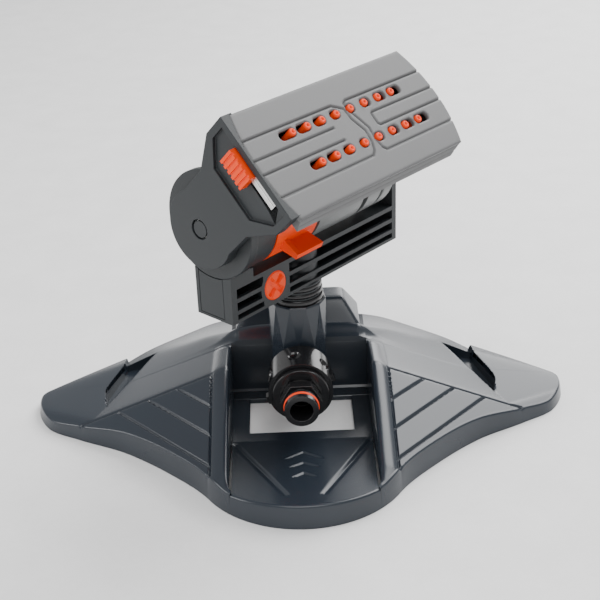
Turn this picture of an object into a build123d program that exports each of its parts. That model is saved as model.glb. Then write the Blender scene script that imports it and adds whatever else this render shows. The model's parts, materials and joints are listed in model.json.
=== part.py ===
from build123d import *
from math import atan, cos, degrees, radians, sin, tan
import os

os.makedirs("parts", exist_ok=True)

# ---- Stance, in millimetres and degrees -------------------------------------------------
PIVOT_Z = 121.7        # height of the swing axis over the ground
YOKE_TURN = 47.4       # turn of the yoke on the neck, from the width of the base
HEAD_LEAN = 44.2       # lean of the spray face from level, towards the front

# ---- Base --------------------------------------------------------------------------------
WALL = 2.6             # wall of the base moulding
HALF_WIDTH = 132.9
HALF_DEPTH = 95.3
LOBE_RADIUS = 50.9     # the round front of the base
POCKET_HALF = 34.0     # the pocket that the hose connector stands in
POCKET_BACK = 19.0
FLOOR_TOP = 2.5
RAMP_TOP = 11.8        # the ramp's height at the very front
RAMP_START = -28.5
WINDOW_HALF = 25.6     # the window through the pocket floor
WINDOW_FRONT = -21.4
WINDOW_BACK = 10.2
POCKET_TOP = 30.0      # top of the pocket's back wall
SHOULDER_Z = 37.0      # the level step behind the pocket
SHOULDER_END = 46.0
HUMP_Z = 50.0
HUMP_FRONT = 26.0
HUMP_HALF = 27.0
NOTCH_RADIUS = 16.5    # rounded opening in the hump, behind the neck
ROOF_FRONT = (50.2, 0.339, 0.348)     # height on the neck axis, fall outwards, rise backwards
ROOF_REAR = (45.6, 0.372, -0.152)
ROOF_TIP = (19.9, 0.1, -0.03)
ROOF_FALL = (47.8, 0.2625, -0.3276)   # the rearmost facet, down to the rear rim
TIP_EDGE = ((96, -90), (96, -5), (98.8, 14), (92, 38), (91, 90))  # where each tip panel starts
VENT = ((96, -5), (76, 49.5), (91, 45), (92, 38), (98.8, 14))     # the opening in each wing

# ---- Neck and hose connector ---------------------------------------------------------------
INLET_Z = 31.7         # height of the hose connector's axis
COLLAR_RADIUS = 13.25
COLLAR_TOP = 60.0
NECK_RADIUS = 8.95     # the swivelling neck inside the tee
NECK_BORE = 9.0
WATERWAY = 5.25        # bore of the hose connector
NIPPLE_RADIUS = 8.0
NIPPLE_END = 49.8      # how far the nipple stands in front of the neck axis
TONGUE_HALF = 9.0

# ---- Yoke, in its own axes: u along the swing axis, v backwards, z up from the pivot --------
YOKE_LEFT = -54.4
YOKE_RIGHT = 63.3
YOKE_HALF = 11.0       # half of the yoke's depth
YOKE_BOTTOM = -45.7
YOKE_TOP = -27.0
RIGHT_WALL = 60.0      # inner face of the right upright
DISC_RADIUS = 25.0     # the big disc behind the left arm
DRUM_RADIUS = 24.0     # the drive drum between the uprights
SLOT_ROWS = ((-44.1, -41.6), (-39.6, -35.8), (-33.7, -29.2))
PLUG_U = -26.2         # the filter plug in the yoke's front
PLUG_Z = -36.7
PLUG_RADIUS = 7.0
PLUG_RING = 9.3

PANEL = 0.8            # depth of the left end's inset panel
CORE_RADIUS = 21.5     # the dark tube that the drum's shells sit on
CORE_BORE = 19.5
SHAFT_RADIUS = 1.5
HUB_RADIUS = 4.0
TRUNNION = 8.0
LAY_OFFSET = 11.0      # how far the layshaft stands behind the swing axis

# ---- Spray head, in its own axes: u along the swing axis, t up the face, r outwards -------
FACE_R = 50.5          # the spray face's distance from the swing axis
SEAM_R = 48.6
STRIP_R = 44.6
HEAD_HALF = 24.7       # half of the head's width across the face
HEAD_CORNER = 55.4     # half of the head's length at its corners
LEFT_BULGE = 59.2
RIGHT_BULGE = 61.0
BELLY_HALF = 17.0
BELLY_R = 30.0
CAVITY_R = 32.0
ARM_OUT = -60.2        # outer face of the left arm
ARM_IN = -54.8
NOZZLE_ROOT = 36.6     # distance of the nozzles' tilting axes from the swing axis
NOZZLE_TIP = 51.4
NOZZLE_RADIUS = 1.95
SLOT_HALF = 2.1        # half of the width of the nozzle slots
NOZZLE_PITCH = 9.44
ROWS = ((7.9, -31.6), (-8.8, -26.8))  # each row's place up the face and its first nozzle
MIDDLE = 4.0           # nozzles left of this tilt left, the others tilt right
CLAMP_R = 39.0         # top of the plate that clamps the nozzle roots
PLATE_R = 40.2         # underside of the two spreader plates
PLATE_TRAVEL = 2.2
SPREADERS = (("left", -1, -47, (1.2, 4.9)), ("right", 1, 48, (2.6, 7)))  # way, outer and inner edges
SLIDER_SLOT = ((-16.7, 41), (12.2, 47.4))  # the width slider's window in the left arm


def framed(turn, lean):
    """Axes on the pivot: x along the swing axis, z turned from upright by the lean."""
    along = (cos(radians(turn)), sin(radians(turn)), 0)
    out = (sin(radians(lean)) * sin(radians(turn)),
           -sin(radians(lean)) * cos(radians(turn)), cos(radians(lean)))
    return Plane(origin=(0, 0, PIVOT_Z), x_dir=along, z_dir=out)


YOKE = framed(YOKE_TURN, 0)
HEAD = framed(YOKE_TURN, HEAD_LEAN)


def section(frame, u):
    """The plane across the swing axis at u: local x goes back or up the face, local y outwards."""
    return Plane(frame.from_local_coords((u, 0, 0)), x_dir=frame.y_dir, z_dir=frame.x_dir)


def elevation(frame, v):
    """The plane facing forwards at depth v: local x along the swing axis, local y outwards."""
    return Plane(frame.from_local_coords((0, v, 0)), x_dir=frame.x_dir, z_dir=-frame.y_dir)


def rod(plane, length, radius, bore=0.0, mode=Mode.ADD):
    """A round rod or tube from a plane along its normal, in the part being built."""
    with BuildSketch(plane) as ring:
        Circle(radius)
        if bore:
            Circle(bore, mode=Mode.SUBTRACT)
    extrude(ring.sketch, amount=length, mode=mode)


def slab(plane, first, last, length, mode=Mode.ADD):
    """A rectangle between two opposite corners on a plane, pushed along its normal."""
    with BuildSketch(plane) as face:
        with Locations(((first[0] + last[0]) / 2, (first[1] + last[1]) / 2)):
            Rectangle(abs(last[0] - first[0]), abs(last[1] - first[1]))
    extrude(face.sketch, amount=length, mode=mode)


def prism(plane, points, length, mode=Mode.ADD):
    """A polygon on a plane, pushed along its normal."""
    with BuildSketch(plane) as face:
        with BuildLine():
            Polyline(*points, close=True)
        make_face()
    extrude(face.sketch, amount=length, mode=mode)


def keep(name, piece):
    """Label a finished piece and write it as the node of the same name."""
    piece.part.label = name
    export_step(piece.part, f"parts/{name}.step")


def mirrored(points):
    """A row of points on the other side of the base, in the same order."""
    return [(-x, y) for x, y in points]


# ---- Base ------------------------------------------------------------------------------
def footprint(inset):
    """The base's outline on the ground, drawn in by about an inset."""
    def drawn_in(x, y):
        return (x * (1 - inset / HALF_WIDTH), y * (1 - inset / HALF_DEPTH))

    with BuildSketch() as sketch:
        with BuildLine():
            lobe = CenterArc((0, LOBE_RADIUS - HALF_DEPTH), LOBE_RADIUS - inset, -90, 58)
            flank = Spline((lobe @ 1, drawn_in(60, -52), drawn_in(84.5, -31), drawn_in(109, -17.4),
                            drawn_in(125.5, -6.3), drawn_in(HALF_WIDTH, 14)),
                           tangents=(lobe % 1, (0, 1)))
            tip = ThreePointArc(flank @ 1, drawn_in(132.4, 18.5), drawn_in(129.6, 22.3))
            back = Line(tip @ 1, drawn_in(52, 84.5))
            Spline((back @ 1, drawn_in(0, HALF_DEPTH)), tangents=(back % 1, (-1, 0)))
            mirror(about=Plane.YZ)
        make_face()
    return sketch.sketch


def roof(pitch, side, drop):
    """One plane of the base's roof, lowered by a drop."""
    height, fall, rise = pitch
    return Plane(origin=(0, 0, height - drop), z_dir=(fall * side, -rise, 1))


def mound(inset):
    """The base's outer form with its pocket, or, drawn in all round, the hollow under it."""
    with BuildPart() as tips:
        extrude(footprint(inset), amount=60)
        for side in (-1, 1):
            for pitch in (ROOF_FRONT, ROOF_TIP, ROOF_FALL):
                split(bisect_by=roof(pitch, side, inset), keep=Keep.BOTTOM)
        prism(Plane.XY, (*mirrored(TIP_EDGE), *reversed(TIP_EDGE)), 60, mode=Mode.SUBTRACT)
    with BuildPart() as form:
        extrude(footprint(inset), amount=60)
        for side in (-1, 1):
            for pitch in (ROOF_FRONT, ROOF_REAR, ROOF_FALL):
                split(bisect_by=roof(pitch, side, inset), keep=Keep.BOTTOM)
        add(tips.part)
        rise = ((POCKET_BACK, POCKET_TOP), (25, SHOULDER_Z - inset), (SHOULDER_END, SHOULDER_Z - inset),
                (HALF_DEPTH - 8, 9 - inset))
        prism(Plane.YZ.offset(inset - POCKET_HALF), ((0, 0), (0, POCKET_TOP), *rise, (HALF_DEPTH - 8, 0)),
              2 * (POCKET_HALF - inset))
        prism(Plane.YZ.offset(-POCKET_HALF), (*rise, (HALF_DEPTH + 1, 9 - inset), (HALF_DEPTH + 1, 70),
                                              (POCKET_BACK, 70)), 2 * POCKET_HALF, mode=Mode.SUBTRACT)
        pocket = ((-HALF_DEPTH - 1, RAMP_TOP - inset), (RAMP_START, FLOOR_TOP - inset),
                  (POCKET_BACK + inset, FLOOR_TOP - inset), (POCKET_BACK + inset, 70),
                  (-HALF_DEPTH - 1, 70))
        prism(Plane.YZ.offset(-POCKET_HALF - inset), pocket, 2 * (POCKET_HALF + inset),
              mode=Mode.SUBTRACT)
    return form.part


with BuildPart() as base_shell:
    add(mound(0))
    with BuildSketch(Plane.XZ.offset(-SHOULDER_END)) as hump:
        with Locations((0, HUMP_Z - 13)):
            RectangleRounded(2 * HUMP_HALF, 26, 8)
    extrude(hump.sketch, amount=SHOULDER_END - HUMP_FRONT)
    add(mound(WALL), mode=Mode.SUBTRACT)
    for points in (VENT, mirrored(VENT)):
        prism(Plane.XY, points, 30, mode=Mode.SUBTRACT)
    slab(Plane.XY, (-WINDOW_HALF, WINDOW_FRONT), (WINDOW_HALF, WINDOW_BACK), 10, mode=Mode.SUBTRACT)
    rod(Plane((0, 22, SHOULDER_Z)), 20, NOTCH_RADIUS, mode=Mode.SUBTRACT)
    slab(Plane.XZ.offset(-24), (-TONGUE_HALF, 24), (TONGUE_HALF, 34), 10, mode=Mode.SUBTRACT)
keep("base_shell", base_shell)


# ---- Tee, neck and hose connector ----------------------------------------------------------
def forward(y):
    """The plane across the hose connector at a distance in front of the neck axis."""
    return Plane((0, -y, INLET_Z), x_dir=(1, 0, 0), z_dir=(0, -1, 0))


with BuildPart() as tee_piece:
    rod(Plane((0, 0, 20)), COLLAR_TOP - 20, COLLAR_RADIUS)
    rod(forward(8), 7, 9)
    slab(Plane.XZ.offset(-44), (-TONGUE_HALF, 24), (TONGUE_HALF, 34), 34)
    for depth in (28, 38):
        rod(Plane((0, depth, 24)), 10, 1.7, mode=Mode.SUBTRACT)
    rod(Plane((0, 0, 24)), 40, NECK_BORE, mode=Mode.SUBTRACT)
    rod(forward(0), 20, WATERWAY, mode=Mode.SUBTRACT)
keep("tee_piece", tee_piece)

with BuildPart() as tee_screws:
    for depth in (28, 38):
        rod(Plane((0, depth, 21.5)), 2.5, 3)
        rod(Plane((0, depth, 24)), 9, 1.7)
keep("tee_screws", tee_screws)

with BuildPart() as flow_valve_body:
    rod(forward(15), 21, 9, WATERWAY)
    rod(forward(33.3), 2.7, 13.4, 9)
keep("flow_valve_body", flow_valve_body)

with BuildPart() as flow_collar:
    rod(forward(15.4), 17.6, 15.2, 9.05)
    for turn in range(-20, 340, 60):
        way = (cos(radians(turn)), 0, sin(radians(turn)))
        with Locations((17.4 * way[0], -24.5, INLET_Z + 17.4 * way[2])):
            Sphere(4.2, mode=Mode.SUBTRACT)
    for turn in (20, 200):
        grip = Plane(origin=(0, -26, INLET_Z), z_dir=(0, -1, 0),
                     x_dir=(cos(radians(turn)), 0, sin(radians(turn))))
        slab(grip, (14, -2), (16.8, 2), 4)
keep("flow_collar", flow_collar)

with BuildPart() as inlet_washer:
    rod(forward(36), 1, 8.6, WATERWAY + 0.5)
keep("inlet_washer", inlet_washer)

with BuildPart() as tap_nipple:
    with BuildSketch(forward(37)) as nut:
        RegularPolygon(9.8, 6)
    extrude(nut.sketch, amount=5)
    rod(forward(42), 1.5, 7)
    rod(forward(43.5), NIPPLE_END - 43.5, NIPPLE_RADIUS)
    rod(forward(37), 20, WATERWAY, mode=Mode.SUBTRACT)
    rod(forward(45.2), 1.8, NIPPLE_RADIUS + 1, NIPPLE_RADIUS - 1.4, mode=Mode.SUBTRACT)
keep("tap_nipple", tap_nipple)

with BuildPart() as nipple_o_ring:
    with BuildSketch(Plane.YZ) as cord:
        with Locations((-46.1, INLET_Z + NIPPLE_RADIUS - 0.55)):
            Circle(0.84)
    revolve(cord.sketch, axis=Axis((0, 0, INLET_Z), (0, 1, 0)))
keep("nipple_o_ring", nipple_o_ring)

with BuildPart() as neck_ring:
    rod(Plane((0, 0, COLLAR_TOP)), 5.8, 12.9, NECK_BORE)
keep("neck_ring", neck_ring)

with BuildPart() as neck_tube:
    rod(Plane((0, 0, 38)), 28, NECK_RADIUS, 6)
    rod(Plane((0, 0, 66)), 10, 11.7, 6)
    rod(Plane((0, 0, 76)), 17, 10.3, 6)
    rod(Plane((0, 0, 42)), 2.2, NECK_RADIUS + 1, NECK_RADIUS - 1.6, mode=Mode.SUBTRACT)
keep("neck_tube", neck_tube)

with BuildPart() as neck_o_ring:
    with BuildSketch(Plane.XZ) as cord:
        with Locations((NECK_RADIUS - 0.75, 43.1)):
            Circle(0.8)
    revolve(cord.sketch, axis=Axis.Z)
keep("neck_o_ring", neck_o_ring)


# ---- Yoke --------------------------------------------------------------------------------
def plug_face(v):
    """The plane across the filter plug's axis at depth v, facing forwards."""
    return Plane(YOKE.from_local_coords((PLUG_U, v, PLUG_Z)), x_dir=YOKE.x_dir, z_dir=-YOKE.y_dir)


with BuildPart() as yoke_frame:
    slab(elevation(YOKE, -YOKE_HALF), (YOKE_LEFT, YOKE_BOTTOM), (YOKE_RIGHT, YOKE_TOP), -2 * YOKE_HALF)
    slab(elevation(YOKE, -YOKE_HALF), (RIGHT_WALL, YOKE_TOP), (YOKE_RIGHT, 0), -2 * YOKE_HALF)
    rod(section(YOKE, RIGHT_WALL), YOKE_RIGHT - RIGHT_WALL, YOKE_HALF)
    slab(elevation(YOKE, -YOKE_HALF), (YOKE_LEFT, YOKE_TOP), (-40, -18), -2 * YOKE_HALF)
    slab(elevation(YOKE, -YOKE_HALF + 2), (-51, YOKE_BOTTOM + 1.6), (RIGHT_WALL, YOKE_TOP - 2.2), -25,
         mode=Mode.SUBTRACT)
    for low, high in SLOT_ROWS:
        slab(elevation(YOKE, -YOKE_HALF - 1), (-51, low), (-34, high), -6, mode=Mode.SUBTRACT)
        slab(elevation(YOKE, -YOKE_HALF - 1), (-16.5, low), (RIGHT_WALL, high), -6, mode=Mode.SUBTRACT)
    rod(section(YOKE, YOKE_LEFT), 20, DISC_RADIUS, mode=Mode.SUBTRACT)
    rod(plug_face(-YOKE_HALF), -20, PLUG_RING)
    rod(plug_face(-YOKE_HALF - 1), -19, PLUG_RADIUS + 0.05, mode=Mode.SUBTRACT)
    rod(Plane((0, 0, 70)), 30, 10.3, mode=Mode.SUBTRACT)
    rod(section(YOKE, RIGHT_WALL - 1), 6, 6, mode=Mode.SUBTRACT)
    slab(section(YOKE, YOKE_LEFT), (-6, YOKE_BOTTOM + 1.3), (9, -10), PANEL, mode=Mode.SUBTRACT)
keep("yoke_frame", yoke_frame)

with BuildPart() as left_panel:
    slab(section(YOKE, YOKE_LEFT), (-5.8, YOKE_BOTTOM + 1.5), (8.8, -15), PANEL)
    rod(section(YOKE, YOKE_LEFT), PANEL, DISC_RADIUS + 0.2, mode=Mode.SUBTRACT)
keep("left_panel", left_panel)

with BuildPart() as yoke_back_cover:
    slab(elevation(YOKE, YOKE_HALF), (-50.8, YOKE_BOTTOM + 1.8), (RIGHT_WALL - 0.2, YOKE_TOP - 2.4), 1.8)
    rod(Plane((0, 0, 70)), 30, 10.3, mode=Mode.SUBTRACT)
keep("yoke_back_cover", yoke_back_cover)

with BuildPart() as left_housing:
    rod(section(YOKE, YOKE_LEFT), 4.4, DISC_RADIUS)
    rod(section(YOKE, -50), 13, DRUM_RADIUS, CORE_BORE)
    rod(section(YOKE, YOKE_LEFT), 5, HUB_RADIUS + 0.05, mode=Mode.SUBTRACT)
keep("left_housing", left_housing)


# ---- Drive drum ---------------------------------------------------------------------------
with BuildPart() as drive_core:
    rod(section(YOKE, -37), 81, CORE_RADIUS, CORE_BORE)
    rod(section(YOKE, -10), 2, CORE_BORE, SHAFT_RADIUS + 0.05)
    rod(section(YOKE, 22), 2, CORE_BORE, SHAFT_RADIUS + 0.05)
    rod(Plane((0, 0, PIVOT_Z - CORE_RADIUS - 1)), 5, 4, mode=Mode.SUBTRACT)
    for radius in (8, 13):
        for turn in range(0, 360, 60):
            port = section(YOKE, 21)
            spot = port.from_local_coords((radius * cos(radians(turn)), radius * sin(radians(turn)), 0))
            rod(Plane(spot, x_dir=port.x_dir, z_dir=port.z_dir), 4, 1.5, mode=Mode.SUBTRACT)
keep("drive_core", drive_core)

with BuildPart() as range_ring:
    rod(section(YOKE, -36.4), 26.9, DRUM_RADIUS, CORE_RADIUS + 0.05)
    prism(section(YOKE, -31), ((-29.8, -14.3), (-28.5, -16.9), (-18.6, -14.4), (-20.3, -11.5)), 17)
    prism(section(YOKE, -31), ((-29, -14), (-20.3, -11.5), (-21.5, -9.2)), 2.4)
    rod(section(YOKE, -37), 40, CORE_RADIUS + 0.05, mode=Mode.SUBTRACT)
keep("range_ring", range_ring)

with BuildPart() as drive_housing:
    rod(section(YOKE, -7.5), 31, DRUM_RADIUS, CORE_RADIUS)
    rod(Plane((0, 0, PIVOT_Z - 31)), 8, 6)
    rod(section(YOKE, -8), 31, CORE_RADIUS, mode=Mode.SUBTRACT)
    rod(Plane((0, 0, PIVOT_Z - 32)), 12, 4, mode=Mode.SUBTRACT)
keep("drive_housing", drive_housing)

with BuildPart() as drive_band:
    rod(section(YOKE, 27.5), 9.8, DRUM_RADIUS - 0.2, CORE_RADIUS)
keep("drive_band", drive_band)

with BuildPart() as drive_cap:
    rod(section(YOKE, 39), 7.5, DRUM_RADIUS - 0.3)
    rod(section(YOKE, 38), 6, CORE_RADIUS, mode=Mode.SUBTRACT)
    rod(section(YOKE, 46.5), RIGHT_WALL - 46.5, TRUNNION)
    rod(section(YOKE, RIGHT_WALL), YOKE_RIGHT - RIGHT_WALL, 6)
    rod(section(YOKE, 40), 22, 4.5, mode=Mode.SUBTRACT)
keep("drive_cap", drive_cap)

with BuildPart() as turbine_shaft:
    rod(section(YOKE, -17), 42, SHAFT_RADIUS)
keep("turbine_shaft", turbine_shaft)

with BuildPart() as turbine_wheel:
    rod(section(YOKE, 6), 9, 5, SHAFT_RADIUS)
    for turn in range(0, 360, 30):
        vane = Plane(YOKE.from_local_coords((6, 0, 0)), z_dir=YOKE.x_dir,
                     x_dir=Vector(*YOKE.y_dir).rotate(Axis((0, 0, 0), YOKE.x_dir), turn))
        slab(vane, (4.5, -0.6), (17, 0.6), 9)
keep("turbine_wheel", turbine_wheel)


def gear(plane, length, pitch_radius, teeth, bore=0.0):
    """A small spur gear: a round body with one tapered tooth repeated around it."""
    depth = 0.9
    half = pitch_radius * tan(radians(90 / teeth)) * 0.9
    with BuildSketch(plane) as profile:
        Circle(pitch_radius - depth)
        with BuildLine(mode=Mode.PRIVATE) as tooth:
            Polyline((0, -half), (pitch_radius - depth / 2, -half), (pitch_radius - 0.05, -half / 2),
                     (pitch_radius - 0.05, half / 2), (pitch_radius - depth / 2, half), (0, half), close=True)
        with PolarLocations(0, teeth):
            add(make_face(tooth.edges(), mode=Mode.PRIVATE))
        if bore:
            Circle(bore, mode=Mode.SUBTRACT)
    extrude(profile.sketch, amount=length)


def beside(u, back):
    """The plane across the drum on the layshaft's axis."""
    return Plane(YOKE.from_local_coords((u, back, 0)), x_dir=YOKE.y_dir, z_dir=YOKE.x_dir)


with BuildPart() as pinion:
    gear(section(YOKE, -16.5), 5, 3.5, 14, SHAFT_RADIUS)
keep("pinion", pinion)

with BuildPart() as lay_gear:
    gear(beside(-16.5, LAY_OFFSET), 4.5, LAY_OFFSET - 3.5, 30, 1.05)
    gear(beside(-24, LAY_OFFSET), 7.5, 3.5, 14, 1.05)
keep("lay_gear", lay_gear)

with BuildPart() as lay_pin:
    rod(beside(-30, LAY_OFFSET), 20, 1)
keep("lay_pin", lay_pin)

with BuildPart() as reduction_gear:
    gear(section(YOKE, -23.5), 4, LAY_OFFSET - 3.5, 30, 2.05)
keep("reduction_gear", reduction_gear)

with BuildPart() as gear_plate:
    rod(section(YOKE, -32), 2, CORE_BORE, HUB_RADIUS + 0.1)
    rod(beside(-33, LAY_OFFSET), 5, 1, mode=Mode.SUBTRACT)
keep("gear_plate", gear_plate)

with BuildPart() as output_hub:
    rod(section(YOKE, ARM_OUT + 1.5), 30, HUB_RADIUS)
    rod(section(YOKE, -28.7), 11.2, 2)
keep("output_hub", output_hub)


# ---- Filter in the yoke's front ------------------------------------------------------------
with BuildPart() as filter_plug:
    rod(plug_face(-YOKE_HALF), -3, PLUG_RADIUS)
    for turn in (45, 135):
        slot = Plane(plug_face(-YOKE_HALF).origin, z_dir=-YOKE.y_dir,
                     x_dir=Vector(*YOKE.x_dir).rotate(Axis((0, 0, 0), YOKE.y_dir), turn))
        slab(slot, (-6, -1.2), (6, 1.2), -2, mode=Mode.SUBTRACT)
    rod(plug_face(-YOKE_HALF + 3), -2.6, 5.6)
    rod(plug_face(-YOKE_HALF + 3.6), -1.6, PLUG_RADIUS, 4.6, mode=Mode.SUBTRACT)
keep("filter_plug", filter_plug)

with BuildPart() as plug_o_ring:
    with BuildSketch(Plane(YOKE.from_local_coords((PLUG_U, 0, PLUG_Z)), x_dir=YOKE.x_dir,
                           z_dir=YOKE.z_dir)) as cord:
        with Locations((5.75, -6.6)):
            Circle(0.75)
    revolve(cord.sketch, axis=Axis(YOKE.from_local_coords((PLUG_U, 0, PLUG_Z)), YOKE.y_dir))
keep("plug_o_ring", plug_o_ring)

with BuildPart() as filter_sieve:
    rod(plug_face(-YOKE_HALF + 5.6), -11, 5.2, 4.4)
    for ring in range(3):
        for turn in range(0, 180, 30):
            hole = Plane(YOKE.from_local_coords((PLUG_U, -3.6 + 3 * ring, PLUG_Z)), x_dir=YOKE.y_dir,
                         z_dir=Vector(*YOKE.x_dir).rotate(Axis((0, 0, 0), YOKE.y_dir), turn))
            slab(hole, (-0.9, -0.8), (0.9, 0.8), 8, mode=Mode.SUBTRACT)
            slab(hole, (-0.9, -0.8), (0.9, 0.8), -8, mode=Mode.SUBTRACT)
keep("filter_sieve", filter_sieve)


# ---- Spray head ---------------------------------------------------------------------------
def head_outline(r):
    """The head's plan: straight sides and bulging ends, at a distance from the swing axis."""
    with BuildSketch(HEAD.offset(r)) as sketch:
        with BuildLine():
            Line((-HEAD_CORNER, HEAD_HALF), (HEAD_CORNER, HEAD_HALF))
            ThreePointArc((HEAD_CORNER, HEAD_HALF), (RIGHT_BULGE, 0), (HEAD_CORNER, -HEAD_HALF))
            Line((HEAD_CORNER, -HEAD_HALF), (-HEAD_CORNER, -HEAD_HALF))
            ThreePointArc((-HEAD_CORNER, -HEAD_HALF), (-LEFT_BULGE, 0), (-HEAD_CORNER, HEAD_HALF))
        make_face()
    return sketch.sketch


def nozzle_places():
    """Each nozzle's name, place along and up the face, way it tilts, and its tip's travel."""
    for row, (up, first) in enumerate(ROWS, 1):
        for number in range(8):
            along = first + NOZZLE_PITCH * number
            way = 1 if along > MIDDLE else -1
            travel = 0.4 + 0.14 * abs(along - MIDDLE)
            yield f"nozzle_{row}_{number + 1}", along, up, way, travel


def nozzle_slot(base_r, height, along, up, inner, outer, way, half):
    """A round-ended slot cut round a nozzle, longer on its inner or on its outer side."""
    with BuildSketch(HEAD.offset(base_r)) as sketch:
        with Locations((along + way * (outer - inner) / 2, up)):
            SlotCenterToCenter(inner + outer, 2 * half)
    extrude(sketch.sketch, amount=height, mode=Mode.SUBTRACT)


def across(along, up, reach):
    """The plane where a nozzle's round root starts, this far down the face from its stem."""
    return Plane(HEAD.from_local_coords((along, up - reach, NOZZLE_ROOT)), x_dir=HEAD.x_dir,
                 z_dir=HEAD.y_dir)


def outwards(along, up, r):
    """The plane under a nozzle's stem at a distance from the swing axis."""
    return Plane(HEAD.from_local_coords((along, up, r)), x_dir=HEAD.x_dir, z_dir=HEAD.z_dir)


with BuildPart() as head_cover:
    extrude(head_outline(SEAM_R), amount=FACE_R - SEAM_R)
    for _, along, up, way, travel in nozzle_places():
        nozzle_slot(SEAM_R - 1, 5, along, up, 0.001, travel, way, SLOT_HALF)
keep("head_cover", head_cover)

with BuildPart() as head_tray:
    extrude(head_outline(STRIP_R), amount=SEAM_R - STRIP_R)
    slab(HEAD.offset(BELLY_R), (-52, -BELLY_HALF), (52, BELLY_HALF), STRIP_R - BELLY_R)
    slab(HEAD.offset(CAVITY_R), (-50.5, -15.2), (50.5, 15.2), 30, mode=Mode.SUBTRACT)
    slab(HEAD.offset(BELLY_R), (-70, -40), (ARM_IN, 40), 30, mode=Mode.SUBTRACT)
    slab(section(HEAD, ARM_IN), *SLIDER_SLOT, 5, mode=Mode.SUBTRACT)
keep("head_tray", head_tray)

with BuildPart() as left_arm:
    prism(section(HEAD, ARM_OUT),
          ((-25.5, FACE_R), (-25.5, 38), (-17, 22), (-17, 0),
           (17, 0), (17, 22), (25.5, 38), (25.5, FACE_R)), 6.4)
    rod(section(HEAD, ARM_OUT), ARM_IN - ARM_OUT, 18.3)
    slab(section(HEAD, ARM_IN), (-30, -20), (30, SEAM_R), 5, mode=Mode.SUBTRACT)
    extrude(head_outline(SEAM_R), amount=5, mode=Mode.SUBTRACT)
    prism(section(HEAD, ARM_OUT),
          ((-13, 29.5), (-22, 39.5), (-22, 47.5), (22, 47.5), (22, 39.5), (13, 29.5)), 1.6,
          mode=Mode.SUBTRACT)
    slab(section(HEAD, ARM_OUT), *SLIDER_SLOT, 8, mode=Mode.SUBTRACT)
    rod(section(HEAD, ARM_OUT), 1.5, 4.6, mode=Mode.SUBTRACT)
    rod(section(HEAD, ARM_OUT), 8, HUB_RADIUS, mode=Mode.SUBTRACT)
keep("left_arm", left_arm)

with BuildPart() as pivot_cap:
    rod(section(HEAD, ARM_OUT + 0.3), 1.2, HUB_RADIUS - 0.1)
keep("pivot_cap", pivot_cap)

with BuildPart() as right_arm:
    rod(section(HEAD, 53), 5, 13)
    slab(section(HEAD, 53), (-13, 0), (13, STRIP_R), 5)
    rod(section(HEAD, 52), 8, TRUNNION + 0.05, mode=Mode.SUBTRACT)
keep("right_arm", right_arm)

with BuildPart() as slider_rail:
    slab(section(HEAD, -57.6), *SLIDER_SLOT, 1)
    slab(section(HEAD, -58), (-15, 43.4), (11, 45), 2, mode=Mode.SUBTRACT)
keep("slider_rail", slider_rail)

with BuildPart() as width_slider:
    slab(section(HEAD, -62.6), (-2.2, 38), (12.4, 46.5), 3.9)
    slab(section(HEAD, -58.9), (-0.5, 43.7), (10, 44.7), 10)
    slab(section(HEAD, -50), (-0.5, 42.5), (10, 46), 1)
    for ridge in range(5):
        groove = 2.7 * ridge - 1
        slab(section(HEAD, -62.6), (groove, 37), (groove + 1.2, 47), 0.8, mode=Mode.SUBTRACT)
keep("width_slider", width_slider)

with BuildPart() as manifold:
    slab(HEAD.offset(CAVITY_R), (-50.2, -15), (50.2, 15), NOZZLE_ROOT - CAVITY_R)
    for _, along, up, _, _ in nozzle_places():
        rod(across(along, up, 3.7), 7.4, 2.1, mode=Mode.SUBTRACT)
        rod(outwards(along, up, CAVITY_R), 5, 0.8, mode=Mode.SUBTRACT)
keep("manifold", manifold)

with BuildPart() as nozzle_clamp:
    slab(HEAD.offset(NOZZLE_ROOT), (-50.2, -15), (50.2, 15), CLAMP_R - NOZZLE_ROOT)
    for _, along, up, way, travel in nozzle_places():
        rod(across(along, up, 3.7), 7.4, 2.1, mode=Mode.SUBTRACT)
        nozzle_slot(NOZZLE_ROOT, 5, along, up, 0.5, 0.5 + 0.3 * travel, way, SLOT_HALF)
keep("nozzle_clamp", nozzle_clamp)

for side, way, outer, (upper, lower) in SPREADERS:
    with BuildPart() as spreader:
        slab(HEAD.offset(PLATE_R), (outer, 0), (upper, 14.4), 1.4)
        slab(HEAD.offset(PLATE_R), (outer, -14.4), (lower, 0), 1.4)
        for _, along, up, tilt, travel in nozzle_places():
            if tilt == way:
                nozzle_slot(PLATE_R - 1, 4, along, up, 0.6 + PLATE_TRAVEL - 0.3 * travel, 0.6, way, 2.15)
    keep(f"spreader_{side}", spreader)

for name, along, up, _, _ in nozzle_places():
    with BuildPart() as nozzle:
        rod(across(along, up, 3.5), 7, 2)
        rod(outwards(along, up, NOZZLE_ROOT), NOZZLE_TIP - NOZZLE_ROOT, NOZZLE_RADIUS)
        rod(outwards(along, up, NOZZLE_ROOT - 3), 30, 0.5, mode=Mode.SUBTRACT)
    keep(name, nozzle)
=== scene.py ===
import json
import math

import bmesh
import bpy
import numpy as np
from mathutils import Matrix, Vector


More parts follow.
